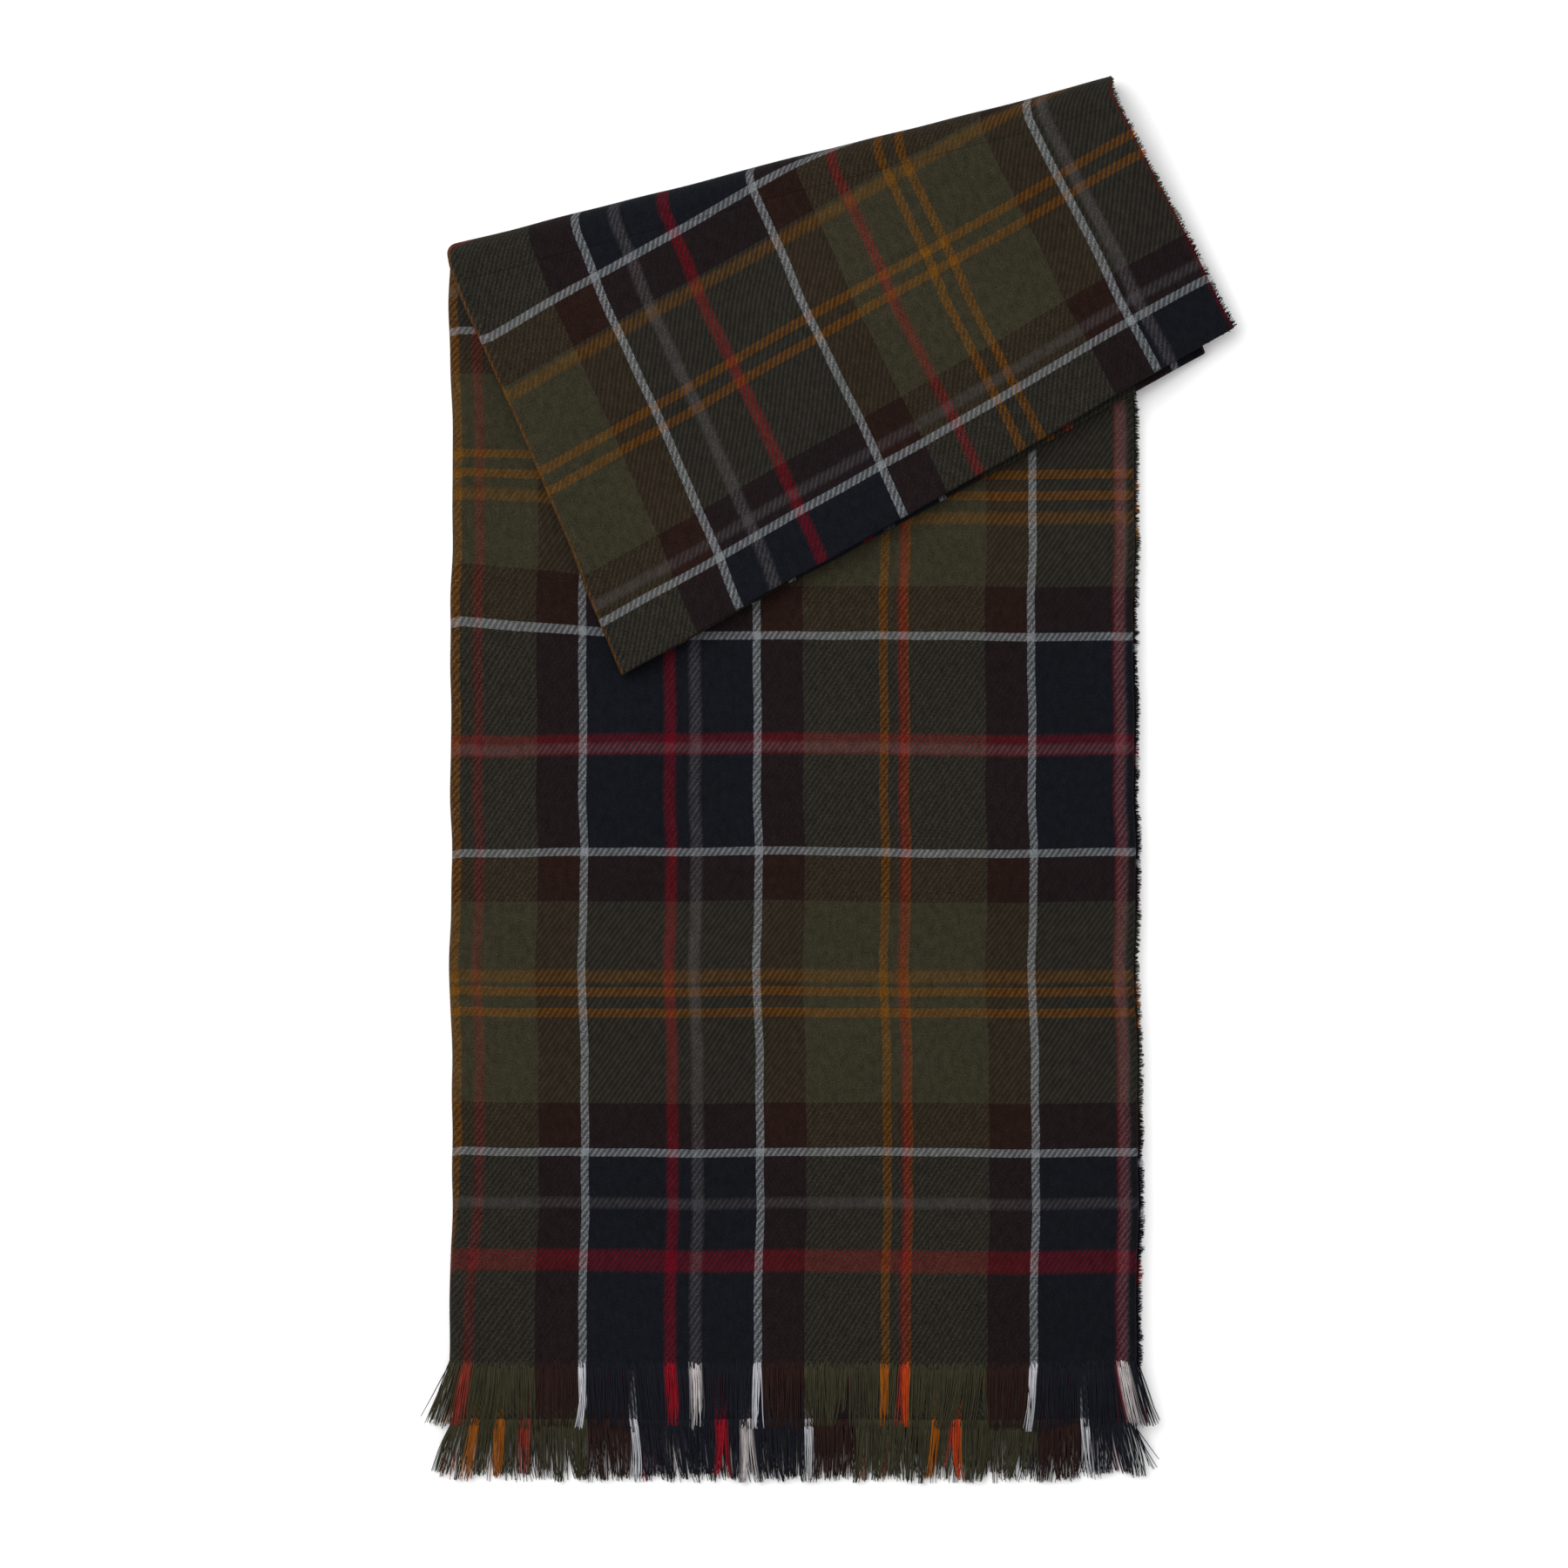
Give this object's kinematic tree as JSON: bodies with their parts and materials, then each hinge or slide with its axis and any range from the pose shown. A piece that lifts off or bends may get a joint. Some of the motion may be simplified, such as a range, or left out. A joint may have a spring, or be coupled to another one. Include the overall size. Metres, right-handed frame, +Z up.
{
  "type": "folded throw blanket",
  "caption": "Tartan woven throw, folded in layers into a long bundle with its upper end turned forward as a slanting flap and fringed lower end.",
  "frame": {"origin": "under the middle of the bundle's outline, on the surface that it lies on", "axes": "+Z up, +Y from the fringed end towards the crown, +X towards the raw edge"},
  "size_m": [0.361, 0.6403, 0.02],
  "materials": {
    "front_cloth": "soft brushed twill in a dark green, brown and navy tartan with white, orange and red lines",
    "back_cloth": "the same tartan cloth, as it shows on the flap and the underside",
    "yarn": "loose ends of the same yarns, in the colours of the lines they come from"
  },
  "bodies": {
    "bundle": {"body_back_a": "back_cloth", "body_back_b": "back_cloth", "body_back_inner_b": "back_cloth", "body_back_inner_a": "back_cloth", "body_front_inner_a": "front_cloth", "body_front_inner_b": "front_cloth", "body_front_b": "front_cloth", "body_front_a": "front_cloth", "fringe_back_a": "yarn", "fringe_back_b": "yarn", "fringe_back_inner_b": "yarn", "fringe_back_inner_a": "yarn", "fringe_front_inner_a": "yarn", "fringe_front_inner_b": "yarn", "fringe_front_b": "yarn", "fringe_front_a": "yarn", "body_left_fold": "front_cloth", "body_right_fold": "front_cloth", "body_selvedge": "yarn", "crown_fold": "front_cloth"},
    "flap": {"flap_back_a": "back_cloth", "flap_back_b": "back_cloth", "flap_back_inner_b": "back_cloth", "flap_back_inner_a": "back_cloth", "flap_front_inner_a": "front_cloth", "flap_front_inner_b": "front_cloth", "flap_front_b": "front_cloth", "flap_front_a": "front_cloth", "flap_left_fold": "back_cloth", "flap_right_fold": "front_cloth", "flap_end_fold_1": "back_cloth", "flap_end_fold_2": "back_cloth", "flap_end_fold_3": "back_cloth", "flap_end_fold_4": "back_cloth", "flap_selvedge": "yarn"}
  },
  "joints": [
    {"name": "flap_fold", "type": "hinge", "parent": "bundle", "child": "flap", "pos_m": [-0.02595, 0.2717, 0.01], "axis": [-0.9689, -0.2473, 0], "range_deg": [0, 170], "deforming": ["crown_fold"]}
  ]
}
